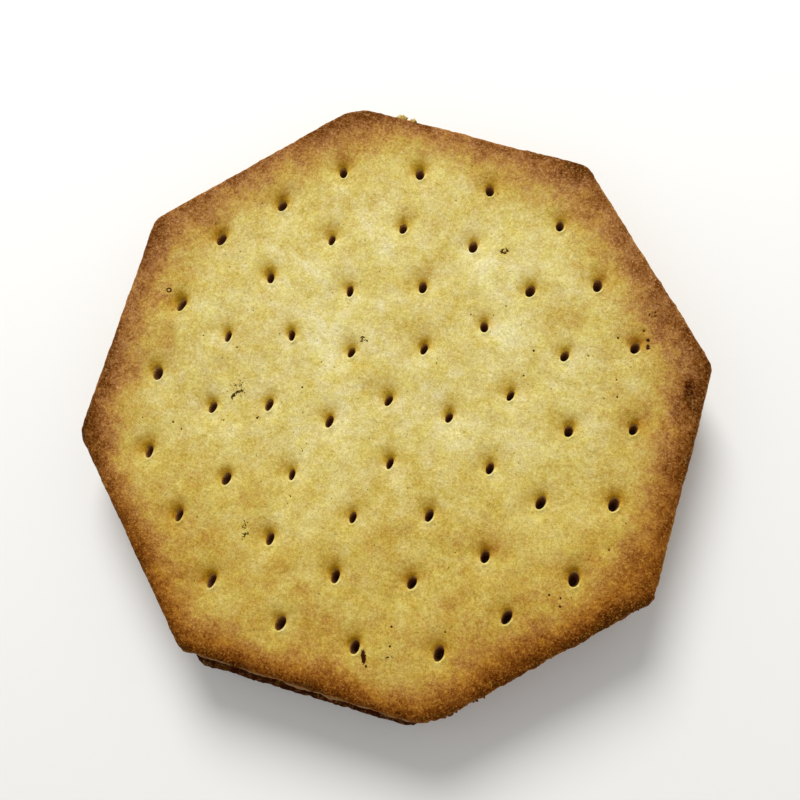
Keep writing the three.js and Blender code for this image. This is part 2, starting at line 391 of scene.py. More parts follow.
marks = {
    # place, half length and half width in mm, turn in degrees, depth, bubbling, ring share, stain
    "upper": [
        ((-26.2, 5.1), 0.36, 0.32, 0, 0.10, 0.0, 1, 0.9),
        ((23.3, 15.8), 0.62, 0.42, 20, 0.06, 0.14, 1, 0.8),
        ((23.5, 13.05), 0.26, 0.22, 0, 0.12, 0.0, 0, 0.95),
        ((23.7, 12.35), 0.40, 0.28, 100, 0.10, 0.0, 0, 0.9),
        ((28.6, 9.2), 1.30, 0.76, 86, 0.03, 0.18, 0, 0.72),
        ((7.1, 18.4), 0.66, 0.48, 25, 0.04, 0.14, 0, 0.7),
        ((5.0, -24.9), 0.95, 0.36, 112, 0.06, 0.0, 0, 0.80),
        ((-15.6, -3.7), 0.72, 0.26, 55, 0.02, 0.05, 0, 0.85),
        ((-2.75, 0.5), 0.60, 0.20, 96, 0.10, 0.0, 0, 0.35),
        ((-12.5, -5.4), 0.28, 0.20, 60, 0.03, 0.03, 0, 0.8),
        ((-10.0, -17.4), 0.60, 0.24, 70, 0.02, 0.06, 0, 0.5),
        ((23.6, 4.9), 0.42, 0.26, 10, 0.02, 0.04, 0, 0.5),
        ((9.6, -28.9), 0.36, 0.20, 20, 0.03, 0.03, 0, 0.9),
    ],
    # smaller spots: place, half size, stain
    "spots": [
        (5.5, -25.7, 0.19, 0.7), (7.2, -23.2, 0.15, 0.8), (20.6, -14.0, 0.17, 0.8), (21.7, -14.0, 0.16, 0.7),
        (-7.9, 2.0, 0.13, 0.7), (-6.2, -3.4, 0.13, 0.7), (20.6, 12.5, 0.17, 0.8), (18.2, 9.9, 0.17, 0.6),
        (21.5, 8.3, 0.13, 0.7), (20.8, 6.1, 0.14, 0.6), (22.0, 6.6, 0.16, 0.7), (-17.0, 1.1, 0.16, 0.6),
        (-19.9, -8.7, 0.16, 0.6), (25.0, -8.2, 0.2, 0.6), (25.3, -7.7, 0.15, 0.5), (26.8, -12.3, 0.17, 0.8),
        (22.9, 13.9, 0.2, 0.6), (-15.9, -6.6, 0.14, 0.6),
    ],
    "pricks": 90,  # tiny ones at random
    "prickSize": (0.09, 0.19),
    "prickReach": 27.5,
    "prickStain": (0.25, 0.75),
    "bubbleSize": 0.24,
    "fineStep": 0.085,
    "fineReach": 1.25,
    "seed": 21,
}


def markList(shape):
    rng = random.Random(marks["seed"] + shape["seed"])
    found = []
    if shape is topShape:
        found = list(marks["upper"])
        found += [((x, y), size, size, 0, 0.07, 0.0, 0, stain) for x, y, size, stain in marks["spots"]]
    for _ in range(marks["pricks"]):
        r, degrees = marks["prickReach"] * math.sqrt(rng.random()), 360 * rng.random()
        size = rng.uniform(*marks["prickSize"])
        stain = rng.uniform(*marks["prickStain"])
        found.append((tuple(r * along(degrees)), size, size * rng.uniform(0.6, 1), 180 * rng.random(),
                      0.05, 0.0, 0, stain))
    return found


def markRelief(markings, xy, seed):
    # change of height and dark stain from each mark
    height, stain = np.zeros(len(xy)), np.zeros(len(xy))
    for place, halfLong, halfWide, degrees, depth, bubbling, ring, dark in markings:
        offset = xy - np.array(place)
        near = np.hypot(*offset.T) < 1.3 * halfLong
        if not near.any():
            continue
        lengthwise, crosswise = offset[near] @ along(degrees), offset[near] @ along(degrees + 90)
        q = np.hypot(lengthwise / halfLong, crosswise / halfWide)
        grain = noiseAt(xy[near], marks["bubbleSize"], seed + 30)
        body = smoothStep((1.2 - q) / 0.8)
        moat = np.exp(-((q - 0.62) / 0.26) ** 2)
        form = moat if ring else body
        height[near] += bubbling * body * np.maximum(0, 2.2 * grain + 0.3) - depth * form
        blotchy = np.clip(0.75 - 1.6 * grain, 0, 1) if bubbling else 1
        stain[near] = np.maximum(stain[near], dark * form * blotchy)
    return height, stain


# one cracker as one fine mesh

def facePoints(shape, edgeRing, holes, markings):
    # points of the docked face, and the closed loops that its triangles must keep
    points = [tuple(p) for p in edgeRing]
    loops = [list(range(len(points)))]
    for hole in holes:
        for share in pins["ringShares"]:
            start = len(points)
            points += [tuple(p) for p in holeRing(hole, share)]
            if share == 0:
                loops.append(list(range(start, len(points))))
    rng = np.random.default_rng(shape["seed"])
    coarse = honeycomb(slab["faceStep"], slab["faceReach"], rng)
    keep = insetOf(shape, coarse) > slab["faceInset"] + 0.18
    for hole in holes:
        keep &= np.hypot(*(coarse - hole["place"]).T) > pins["ringRadius"] + 0.1
    for place, size, *_ in markings:
        keep &= np.hypot(*(coarse - np.array(place)).T) > marks["fineReach"] * size + 0.05
    points += [tuple(p) for p in coarse[keep]]
    taken = np.array(points)
    for place, size, *_ in markings:
        fine = honeycomb(marks["fineStep"], marks["fineReach"] * size, rng) + np.array(place)
        fine = fine[insetOf(shape, fine) > slab["faceInset"] + 0.1]
        for hole in holes:
            fine = fine[np.hypot(*(fine - hole["place"]).T) > pins["ringRadius"] + 0.05]
        close = np.hypot(*(taken - np.array(place)).T) < 2 * size + 0.3
        for p in fine:
            if np.hypot(*(taken[close] - p).T).min(initial=9) > 0.05:
                points.append(tuple(p))
    return points, loops


def honeycomb(step, reach, rng):
    # evenly spaced points, each a little out of place
    rowStep = step * 0.866  # height of a triangle with sides of one step
    rows, columns = int(reach / rowStep), int(reach / step)
    grid = [(step * (column + 0.5 * (row % 2)), rowStep * row)
            for row in range(-rows, rows + 1) for column in range(-columns, columns + 1)]
    grid = np.array(grid)
    grid = grid[np.hypot(*grid.T) < reach]
    return grid + rng.uniform(-0.2, 0.2, grid.shape) * step


def triangulateFace(shape, edgeRing, holes, markings):
    points, loops = facePoints(shape, edgeRing, holes, markings)
    edges = [(loop[i], loop[(i + 1) % len(loop)]) for loop in loops for i in range(len(loop))]
    coords, _, faces, origins, _, _ = delaunay_2d_cdt([Vector(p) for p in points], edges, [], 0, 1e-6, True)
    coords = np.array([(c.x, c.y) for c in coords])
    newIndex = {old: new for new, olds in enumerate(origins) for old in olds}
    faces = np.array(faces)
    centres = coords[faces].mean(axis=1)
    keep = insetOf(shape, centres) > slab["faceInset"] + 0.02
    for hole in holes:
        keep &= ovalDistance(hole, centres) > 0.97
    loops = [[newIndex[i] for i in loop] for loop in loops]
    return coords, faces[keep], loops


def relief(shape, xy, inset, facesDown):
    # low swells and lumps of the docked face
    x, y = xy.T
    swell = np.sin(0.34 * x + 0.9) * np.sin(0.29 * y - 0.4) + 0.5 * np.sin(0.21 * (x - y))  # about 20 mm long
    lumps = np.zeros(len(xy))
    for k, (width, height) in enumerate(slab["waves"]):
        lumps += height * noiseAt(xy, width, shape["seed"] + 4 + k)
    if facesDown:
        return np.minimum(0, lumps - 0.01)
    return slab["swell"] * np.clip(inset / slab["swellFrom"], 0, 1) * np.minimum(0, swell) + lumps - 0.03


baking = {
    # 0 pale, 1 dark brown
    "palest": 0.12,
    "most": 0.95,
    "goldWidth": 9.0,
    "clouds": [(9.0, 0.09), (3.2, 0.09)],  # width in mm, strength
    "warmEnd": 0.12,
    "warmMiddle": 0.06,
    "toastedLess": 0.75,  # where the rim is brown already
    "photoUp": 106.7,  # degrees from +X: the way that is up in the photo
}
wall = {
    # height where the wall passes into the face, and over how much of it
    "faceFrom": (2.7, 0.55),
    "raggedFrom": (2.6, 2.2),  # the same for the ragged edge, by how far in
    "smoothFrom": (2, 0.3),  # farther in than this, only this share of the roughness
    # layers, crags and hatching: width in mm, how much flatter than wide, and how far out in mm
    "textures": [(1.6, 4.5, 0.09), (0.5, 1, 0.07), (0.24, 0.4, 0.04)],
    "golden": (0.24, 0.4, 0.7),  # strength, lowest height, and over how much of it
    "scorchAndShade": 0.40,
    "layerShade": (0.16, 0.12),  # on any wall, and what the dark wall's painted shade with scorching adds
    "hatchShade": (0.18, 0.15),
    "crumbHeight": 1.25,
}


def bakedShade(shape, xy, photoDown):
    # browned along every side, and darker towards one end: partly baking, partly painted shade at the end
    # away from the light
    away = np.maximum(sideDistances(shape, xy), 0)
    brown = np.array(shape["browned"]) * np.exp(-(away / np.array(shape["brownWidth"])) ** 1.35)
    gold = np.array(shape["golden"]) * np.exp(-(away / baking["goldWidth"]) ** 1.6)
    brown, gold = ((band ** 5).sum(axis=1) ** 0.2 for band in (brown, gold))
    clouds = sum(strength * noiseAt(xy, width, shape["seed"] + 11 + k)
                 for k, (width, strength) in enumerate(baking["clouds"]))
    warmEnd = baking["warmEnd"] * smoothStep((xy @ photoDown + 4) / 28)
    warmMiddle = baking["warmMiddle"] * np.exp(-(xy ** 2).sum(axis=1) / 200)
    baked = baking["palest"] + (1 - (1 - brown) * (1 - gold)) * baking["most"] + clouds + warmEnd + warmMiddle
    for place, radius, strength in shape["toasted"]:
        nearby = np.exp(-((xy - np.array(place)) ** 2).sum(axis=1) / radius ** 2)
        baked += strength * (1 - baking["toastedLess"] * brown) * nearby
    return baked


def caramelAt(xy, baked, photoDown):
    # where the crust has gone clear and yellow: at one end only, and most where it has browned
    return smoothStep((xy @ photoDown + 6) / 24) * (0.35 + 0.65 * smoothStep((baked - 0.45) / 0.25))


def bridge(outer, inner):
    # faces between two rings of the same count
    count = len(outer)
    return [(outer[i], outer[(i + 1) % count], inner[(i + 1) % count], inner[i]) for i in range(count)]


def turned(faces):
    return [tuple(reversed(f)) for f in faces]


def holeWalls(holes, loops, heights):
    # the inside of each hole, ring by ring down to its foot
    verts, faces, depths = [], [], []
    start = len(heights)
    for hole, loop in zip(holes, loops[1:]):
        before = list(loop)
        mouth = holeRing(hole, 0)
        top = np.array([heights[i] for i in loop])
        for scale, depth, lean in pins["wallRings"]:
            share = depth / pins["depth"]
            ring = hole["place"] + (mouth - hole["place"]) * scale - along(hole["drag"]) * lean
            level = top.mean() * share + top * (1 - share) - depth
            now = list(range(start + len(verts), start + len(verts) + len(ring)))
            verts += [(p[0], p[1], z) for p, z in zip(ring, level)]
            depths += [depth] * len(ring)
            faces += bridge(before, now)
            before = now
        foot = start + len(verts)
        middle = hole["place"] - along(hole["drag"]) * pins["wallRings"][-1][2]
        verts.append((middle[0], middle[1], top.mean() - pins["depth"]))
        depths.append(pins["depth"])
        faces += [(before[i], before[(i + 1) % len(before)], foot) for i in range(len(before))]
    return np.array(verts), faces, np.array(depths)


def rimStations():
    # points of the rim's section, and the way it faces at each
    above = rimCurve[rimWidest:][::-1]
    above = above[above[:, 0] < slab["faceInset"]]
    path = np.concatenate([above, rimCurve[:rimWidest][::-1]])
    length = np.concatenate([[0], np.cumsum(np.hypot(*np.diff(path, axis=0).T))])
    wanted = np.concatenate([np.arange(0.15, 6.6, 0.165), [7.2, 8.2, 10.0, 13.0]])
    stations = np.stack([np.interp(wanted, length, path[:, k]) for k in (0, 1)], axis=1)
    slope = np.gradient(stations, axis=0)
    normals = np.stack([slope[:, 1], -slope[:, 0]], axis=1)
    normals /= np.hypot(*normals.T)[:, None] + 1e-9
    facing = np.where(normals[:, 1] - normals[:, 0] < 0, -1, 1)
    return stations, normals * facing[:, None]


def crackerRim(shape, edgeLoop, start, markings, facesDown, photoDown):
    # rings of points from the face's edge out, down the wall and in under the cracker
    stations, normals = rimStations()
    plain, ragged = shape["edge"], raggedEdge(shape, shape["edge"])
    count, seed = len(plain), shape["seed"]
    sideShare = np.exp(-(np.maximum(sideDistances(shape, plain), 0) / 0.8) ** 2)
    lipOut, crumbly, scorchedAndShaded = (np.minimum(sideShare @ np.array(shape[key]), 1)
                                 for key in ("lipOut", "crumbly", "scorchedAndShaded"))
    lipOut *= 1 + 0.6 * noiseAt(plain, 1.3, seed + 25)
    verts, faces = [], []
    colors = {"baked": [], "crumb": [], "stain": []}
    before = list(edgeLoop)
    for (inset, height), (nIn, nUp) in zip(stations, normals):
        farthest, reach = wall["raggedFrom"]
        share = smoothStep(np.array((farthest - inset) / reach)) if height > 0.3 else 1.0
        ring = (plain + (ragged - plain) * share) * (1 - inset / shape["reach"][0])
        spots = np.column_stack([ring, np.full(count, height)])
        onTop = smoothStep(np.array((height - wall["faceFrom"][0]) / wall["faceFrom"][1]))
        flaky = (1 - onTop) * (1 if inset < wall["smoothFrom"][0] else wall["smoothFrom"][1])
        layers, crags, hatching = (noiseAt(spots * np.array((1, 1, flatter)), width, seed + 20 + k)
                                   for k, (width, flatter, _) in enumerate(wall["textures"]))
        layersOut, cragsOut, hatchingOut = (out for _, _, out in wall["textures"])
        push = flaky * (layersOut * layers + cragsOut * crags + hatchingOut * hatching)
        change, stain = markRelief(markings, ring, seed)
        up = (relief(shape, ring, np.full(count, inset), facesDown) + change) * onTop
        lip = lipOut * math.exp(-((height - slab["lipHeight"]) / slab["lipSpread"]) ** 2) if inset < 1 else 0
        strength, lowest, reach = wall["golden"]
        golden = strength * smoothStep(np.array((height - lowest) / reach)) * (1 - scorchedAndShaded)
        layerShade, hatchShade = (a + b * scorchedAndShaded for a, b in (wall["layerShade"], wall["hatchShade"]))
        # the dark wall is painted shade with some scorching, laid into the brown
        shade = wall["scorchAndShade"] * scorchedAndShaded + layerShade * layers + hatchShade * hatching - golden
        colors["baked"].append(bakedShade(shape, ring, photoDown) + (1 - onTop) * shade)
        crumbTop = wall["crumbHeight"] - height + 0.9 * layers + 0.6 * crags
        floury = np.maximum(0.3 * scorchedAndShaded * smoothStep((hatching - 0.12) / 0.15),
                            crumbly * smoothStep(crumbTop / 0.5))
        colors["crumb"].append((1 - onTop) * floury)
        # on the dark wall the stain colour is spread as painted shade, broken by its crags
        spotty = np.clip(0.62 + crags + 0.8 * hatching, 0, 1)
        colors["stain"].append(stain * onTop + (1 - onTop) * scorchedAndShaded * spotty)
        ring = ring * (1 + (lip - push * nIn) / np.hypot(*ring.T))[:, None]
        level = np.maximum(height + push * nUp * 0.6 + up, 0)
        if facesDown:
            level = np.minimum(level, slab["thickness"])
        now = list(range(start + len(verts) * count, start + (len(verts) + 1) * count))
        verts.append(np.column_stack([ring, level]))
        faces += turned(bridge(before, now))
        before = now
    middle = start + len(verts) * count
    faces += [(before[(i + 1) % count], before[i], middle) for i in range(count)]
    colors = {key: np.concatenate(rings + [np.zeros(1)]) for key, rings in colors.items()}
    return np.concatenate(verts + [np.zeros((1, 3))]), faces, colors


def crackerMesh(shape, facesDown, photoDown):
    holes, markings = pinHoles(shape), markList(shape)
    shape["edge"] = outlinePoints(shape, slab["pointsRound"])
    edgeRing = shape["edge"] * (1 - slab["faceInset"] / shape["reach"][0])
    coords, faces, loops = triangulateFace(shape, edgeRing, holes, markings)
    heights, dentShade, stain = faceHeights(shape, coords, holes, markings, facesDown)
    wallVerts, wallFaces, depths = holeWalls(holes, loops, heights)
    inner = len(coords) + len(wallVerts)
    # the face is made paler round the holes by their painted light and highlight
    faceBaked = bakedShade(shape, coords, photoDown) - 0.07 * drawnDown(holes, coords)[2]
    rimVerts, rimFaces, rim = crackerRim(shape, loops[0], inner, markings, facesDown, photoDown)
    atWalls, atRim = np.zeros(len(depths)), np.zeros(len(rimVerts))
    return {
        "verts": np.concatenate([np.column_stack([coords, heights]), wallVerts, rimVerts]),
        "faces": [tuple(f) for f in faces] + wallFaces + rimFaces,
        # hole walls darken with depth: the baked crumb's brown with painted shade in the recess
        "baked": np.concatenate([faceBaked, 0.45 + 0.5 * smoothStep(depths / 0.5), rim["baked"]]),
        "caramel": np.concatenate([caramelAt(coords, faceBaked, photoDown), atWalls,
                                   caramelAt(rimVerts[:, :2], rim["baked"], photoDown)]),
        "dentShade": np.concatenate([dentShade, atWalls, atRim]),
        "pit": np.concatenate([np.zeros(len(coords)), smoothStep(depths / 0.9), atRim]),
        "stain": np.concatenate([stain, atWalls, rim["stain"]]),
        "crumb": np.concatenate([np.zeros(inner), rim["crumb"]]),
    }


def faceHeights(shape, xy, holes, markings, facesDown):
    inset = insetOf(shape, xy)
    down, dentShade, _ = drawnDown(holes, xy)
    change, stain = markRelief(markings, xy, shape["seed"])
    if facesDown:
        change = np.minimum(change, 0)
    height = slabHeight(inset) + relief(shape, xy, inset, facesDown) - down + change
    if facesDown:
        height = np.minimum(height, slab["thickness"])
    return height, dentShade, stain


# baked wheat dough: dry and matt, pale gold where it rose, brown where it was thin

crust = {
    "stops": [
        (0.00, "#DFD39E"), (0.14, "#D3C281"), (0.28, "#C6AE64"), (0.42, "#BA974F"),
        (0.54, "#A97B42"), (0.68, "#8F5D32"), (0.84, "#6C3D13"), (0.95, "#583109"), (1.00, "#4E2B08"),
    ],
    # widths of its patterns in mm, by detail; real flour is finer and is drawn as coarse as it shows
    "widths": {2.0: (6.0, 1.9, 0.75, 0.26, 0.16, 0.45), 1.0: (0.32, 2.0, 0.9, 0.30, 0.14, 0.22)},
    # width and strength
    "blotches": [(6.0, 0.15), (1.9, 0.35), (0.75, 0.32), (0.32, 0.13)],
    "grain": [(0.30, 0.040), (0.14, 0.050)],
    "grainWhereBrown": (0.2, 0.9, 1.6),  # from this shade to that it grows so many times stronger
    "yolkColor": "#FFFFDA",  # patches a little yellower than the rest
    "yolk": [(2.0, 0.5), (0.9, 0.5)],
    # width, from one shade to another, strength at each, and where in the noise they begin and are full
    "fleck": (0.26, 0.3, 0.5, 0.6, 0.0, 0.40, 0.22),
    "fleckColor": "#B99F6C",
    "blister": (0.22, 0.4, 0.6, 0.0, 0.30, 0.60, 0.72),
    "blisterColor": "#E2B878",
    "crumbColor": "#9A7852",  # the pale lip at the lower edge
    # funnels are multiplied by this gold: painted shade on their drawn-down side, with some browning
    "dentShadeColor": "#E9CE6C",
    # the deep holes' brown, darker than the crust: partly the crumb's own brown, partly painted shade
    "pitColor": "#7E5636",
    "caramelColor": "#FFF1A6",
    # this dark red-brown is also the painted shade on the lower cracker's dark wall
    "stainColor": "#381402",
    "stainBreaks": (0.16, 0.9),  # width, and how far the edges of a scab break up
    "stainRange": (0.34, 0.62),
    "bump": (0.45, 0.16, 0.027),  # widths of lumps and flour, and height
    "roughness": 0.85,
}


def crustMaterial():
    material, tree = newMaterial("baked_dough_crust")
    place = addNode(tree, "ShaderNodeTexCoord").outputs["Object"]
    vertex = {}
    for name in ("baked", "caramel", "dentShade", "pit", "crumb", "stain"):
        vertex[name] = addNode(tree, "ShaderNodeAttribute", {"attribute_name": name}).outputs["Fac"]
    pattern = {}
    for detail, widths in crust["widths"].items():
        for width in widths:
            values = {"Scale": 1 / (width * mm), "Detail": detail}
            pattern[width] = addNode(tree, "ShaderNodeTexNoise", {}, values, {"Vector": place}).outputs["Fac"]

    # blotches of four sizes shift the crust along its baking colours
    shade = vertex["baked"]
    for width, strength in crust["blotches"]:
        offset = addNode(tree, "ShaderNodeMath", {"operation": "SUBTRACT"}, {1: 0.5}, {0: pattern[width]})
        shade = addNode(tree, "ShaderNodeMath", {"operation": "MULTIPLY_ADD"}, {1: strength},
                        {0: offset.outputs[0], 2: shade}).outputs[0]
    color = addNode(tree, "ShaderNodeValToRGB", {}, {}, {"Fac": shade}, crust["stops"]).outputs["Color"]

    for width, strength in crust["yolk"]:
        amount = addNode(tree, "ShaderNodeMapRange", {},
                         {"From Min": 0.38, "From Max": 0.62, "To Max": strength}, {"Value": pattern[width]})
        color = addNode(tree, "ShaderNodeMix", {"data_type": "RGBA", "blend_type": "MULTIPLY"},
                        {7: toLinear(crust["yolkColor"])}, {0: amount.outputs[0], 6: color}).outputs[2]

    # light and dark flour grain, in even steps to the eye, stronger where the crust is brown
    start, end, times = crust["grainWhereBrown"]
    brown = addNode(tree, "ShaderNodeMapRange", {},
                    {"From Min": start, "From Max": end, "To Min": 1, "To Max": times}, {"Value": shade})
    color = addNode(tree, "ShaderNodeGamma", {}, {"Gamma": 1 / 2.2}, {"Color": color}).outputs[0]
    for width, strength in crust["grain"]:
        spread = addNode(tree, "ShaderNodeMapRange", {}, {"From Min": 0.3, "From Max": 0.7},
                         {"Value": pattern[width]})
        amount = addNode(tree, "ShaderNodeMath", {"operation": "MULTIPLY"}, {1: strength},
                         {0: brown.outputs[0]})
        color = addNode(tree, "ShaderNodeMix", {"data_type": "RGBA", "blend_type": "LINEAR_LIGHT"}, {},
                        {0: amount.outputs[0], 6: color, 7: spread.outputs[0]}).outputs[2]
    color = addNode(tree, "ShaderNodeGamma", {}, {"Gamma": 2.2}, {"Color": color}).outputs[0]

    # dark flecks where the crust is pale, pale blisters where it has browned
    for name, blend in (("fleck", "MULTIPLY"), ("blister", "MIX")):
        width, start, end, atStart, atEnd, begins, full = crust[name]
        values = {"From Min": start, "From Max": end, "To Min": atStart, "To Max": atEnd}
        most = addNode(tree, "ShaderNodeMapRange", {}, values, {"Value": shade})
        amount = addNode(tree, "ShaderNodeMapRange", {}, {"From Min": begins, "From Max": full},
                         {"Value": pattern[width], "To Max": most.outputs[0]})
        color = addNode(tree, "ShaderNodeMix", {"data_type": "RGBA", "blend_type": blend},
                        {7: toLinear(crust[name + "Color"])}, {0: amount.outputs[0], 6: color}).outputs[2]

    # scabs, spots and the dark wall's painted shade with scorching break up into specks
    width, strength = crust["stainBreaks"]
    offset = addNode(tree, "ShaderNodeMath", {"operation": "SUBTRACT"}, {1: 0.5}, {0: pattern[width]})
    broken = addNode(tree, "ShaderNodeMath", {"operation": "MULTIPLY_ADD"}, {1: strength},
                     {0: offset.outputs[0], 2: vertex["stain"]})
    start, end = crust["stainRange"]
    vertex["stain"] = addNode(tree, "ShaderNodeMapRange", {}, {"From Min": start, "From Max": end},
                              {"Value": broken.outputs[0]}).outputs[0]

    # the colours of caramel, the funnels' painted shade, pale crumb, scabs and the dark wall's painted shade,
    # and deep holes, by the mesh's own values
    for key in ("caramel", "dentShade", "crumb", "stain", "pit"):
        blend = "MULTIPLY" if key in ("caramel", "dentShade") else "MIX"
        color = addNode(tree, "ShaderNodeMix", {"data_type": "RGBA", "blend_type": blend},
                        {7: toLinear(crust[key + "Color"])}, {0: vertex[key], 6: color}).outputs[2]

    lumpy, floury, height = crust["bump"]
    rough = addNode(tree, "ShaderNodeMath", {"operation": "MULTIPLY_ADD"}, {1: 2.0},
                    {0: pattern[lumpy], 2: pattern[floury]})
    bump = addNode(tree, "ShaderNodeBump", {}, {"Strength": 1.0, "Distance": height * mm},
                   {"Height": rough.outputs[0]})
    shader = addNode(tree, "ShaderNodeBsdfPrincipled", {},
                     {"Roughness": crust["roughness"], "IOR": 1.45, "Specular IOR Level": 0.05},
                     {"Base Color": color, "Normal": bump.outputs["Normal"]})
    addNode(tree, "ShaderNodeOutputMaterial", {}, {}, {"Surface": shader.outputs[0]})
    return material


def makeCracker(name, shape, material, facesDown):
    photoDown = along(baking["photoUp"] + 180) * (np.array((1, -1)) if facesDown else 1)
    mesh = crackerMesh(shape, facesDown, photoDown)
    verts = mesh["verts"].copy()
    if facesDown:  # turned over about the X axis
        verts[:, 1:] *= -1
    verts += np.array((*shape["middlePin"], shape["innerFace"]))
    piece = makePiece(name, verts * mm, mesh["faces"], material)
    for key in ("pit", "dentShade", "baked", "caramel", "crumb", "stain"):
        setAttribute(piece, key, mesh[key])
    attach(piece, "root")
    print(name, "done:", len(mesh["faces"]), "faces")
    return piece


crustBaked = crustMaterial()
topCracker = makeCracker("upper_docked_cracker", topShape, crustBaked, False)
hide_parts("top_cracker")
bottomCracker = makeCracker("lower_docked_cracker", bottomShape, crustBaked, True)
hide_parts("bottom_cracker")


# the filling between them: whipped fat and sugar, set firm, smooth and a little waxy

cream = {
    "reach": [27.6] * 8,
    "turn": [0] * 8,
    "cornerRadii": [9] * 8,
    "wave": (6.0, 0.9),  # of its edge: width and height
    "rough": (1.6, 0.4),
    "bulge": 0.9,
    "rings": 15,
    "pointsRound": 420,
    "seed": 31,
    "look": {"width": 0.9, "detail": 4.0, "bump": 0.5, "height": 0.08,
             "stops": [(0.35, "#D9BF83"), (0.6, "#E9D8AA")],
             "surface": {"Roughness": 0.5, "IOR": 1.46, "Subsurface Weight": 0.15,
                         "Subsurface Scale": 0.6 * mm}},
}


def plainMaterial(name, look):
    # one pattern gives both the shades and the bumps
    material, tree = newMaterial(name)
    place = addNode(tree, "ShaderNodeTexCoord").outputs["Object"]
    values = {"Scale": 1 / (look["width"] * mm), "Detail": look["detail"]}
    pattern = addNode(tree, "ShaderNodeTexNoise", {}, values, {"Vector": place}).outputs["Fac"]
    ramp = addNode(tree, "ShaderNodeValToRGB", {}, {}, {"Fac": pattern}, look["stops"])
    bump = addNode(tree, "ShaderNodeBump", {}, {"Strength": look["bump"], "Distance": look["height"] * mm},
                   {"Height": pattern})
    shader = addNode(tree, "ShaderNodeBsdfPrincipled", {}, look["surface"],
                     {"Base Color": ramp.outputs["Color"], "Normal": bump.outputs["Normal"]})
    addNode(tree, "ShaderNodeOutputMaterial", {}, {}, {"Surface": shader.outputs[0]})
    return material


def makeFilling(material):
    points = outlinePoints(cream, cream["pointsRound"])
    width, height = cream["wave"]
    points *= (1 + height * noiseAt(points, width, cream["seed"]) / np.hypot(*points.T))[:, None]
    low, high = bottomHigh.z / mm, topLow.z / mm
    middle = (fillingLow + fillingHigh) / 2 / mm
    rings = []
    width, height = cream["rough"]
    for share in np.linspace(0, 1, cream["rings"]):
        bulge = math.sqrt(1 - (2 * share - 1) ** 2)
        level = low + (high - low) * share
        spots = np.column_stack([points, np.full(len(points), level * 3)])
        rough = height * noiseAt(spots, width, cream["seed"] + 1)
        ring = points * (1 - (cream["bulge"] * (1 - bulge) - rough) / cream["reach"][0])[:, None]
        rings.append(np.column_stack([ring, np.full(len(ring), level)]))
    count = len(points)
    verts = np.concatenate(rings + [np.array([[0, 0, low], [0, 0, high]])])
    verts[:, :2] += np.array(middle[:2])
    starts = [k * count for k in range(len(rings))]
    faces = []
    for a, b in zip(starts, starts[1:]):
        faces += bridge(range(a, a + count), range(b, b + count))
    bottom, top, last = len(rings) * count, len(rings) * count + 1, starts[-1]
    faces += [((i + 1) % count, i, bottom) for i in range(count)]
    faces += [(last + i, last + (i + 1) % count, top) for i in range(count)]
    piece = makePiece("cream_filling", verts * mm, faces, material)
    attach(piece, "root")
    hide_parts("filling")


makeFilling(plainMaterial("set_cream_filling", cream["look"]))
print("filling done")


# scallion bits baked into the face, and crumbs that cling to the edge

bits = {
    # place of a cluster, its half length and half width, turn, how many, and size of a bit in mm
    "clusters": [
        ((-15.6, -3.7), 0.80, 0.16, 55, 12, (0.10, 0.18)),
        ((-15.1, -3.25), 0.40, 0.12, 0, 4, (0.08, 0.14)),
        ((-15.5, -2.75), 0.70, 0.60, 55, 26, (0.05, 0.10)),
        ((-4.4, 5.5), 0.34, 0.28, 0, 9, (0.08, 0.17)),
        ((-9.9, -17.0), 0.40, 0.16, 70, 8, (0.09, 0.15)),
        ((-10.3, -16.1), 0.50, 0.35, 70, 12, (0.05, 0.11)),
        ((7.3, -24.3), 0.10, 0.08, 0, 2, (0.12, 0.18)),
        ((7.7, -24.1), 0.08, 0.06, 0, 1, (0.12, 0.16)),
    ],
    "strays": 70,
    "strayReach": 27,
    "straySize": (0.05, 0.11),
    # papery and matt, almost black green with olive fibres
    "look": {"width": 0.15, "detail": 3.0, "bump": 0.6, "height": 0.03,
             "stops": [(0.35, "#2E2204"), (0.68, "#6B5513")],
             "surface": {"Roughness": 0.9, "IOR": 1.45, "Specular IOR Level": 0.05}},
    "seed": 5,
}
crumbs = {
    # place on the edge of the upper cracker, height over its inner face, size, and baking shade
    "single": [
        ((-7.95, 30.4), 2.95, 0.36, 0.25), ((-7.45, 30.4), 2.9, 0.34, 0.45), ((-6.2, 30.2), 2.95, 0.36, 0.3),
        ((-7.7, 30.3), 2.7, 0.26, 0.4), ((-6.6, 30.2), 2.8, 0.20, 0.4),
    ],
    "stretches": [
        # from, to, how many, size
        ((29.9, -12.0), (22.6, -19.3), 24, (0.07, 0.20)),
        ((17.2, -25.0), (13.6, -28.6), 20, (0.08, 0.24)),
        ((22.6, -19.3), (17.2, -25.0), 8, (0.06, 0.14)),
    ],
    "heights": (0.7, 2.4),
    "shades": (0.85, 1.0),
    "widestLevel": 0.7,  # where the wall stands out farthest, over the inner face
    "sunk": (0.02, 0.06),  # into the wall, and more for each mm above its widest level
    "seed": 9,
}


def roundLump():
    ball = bmesh.new()
    bmesh.ops.create_icosphere(ball, subdivisions=2, radius=1)
    verts = np.array([v.co for v in ball.verts])
    faces = [tuple(v.index for v in f.verts) for f in ball.faces]
    ball.free()
    return verts, faces


lumpVerts, lumpFaces = roundLump()


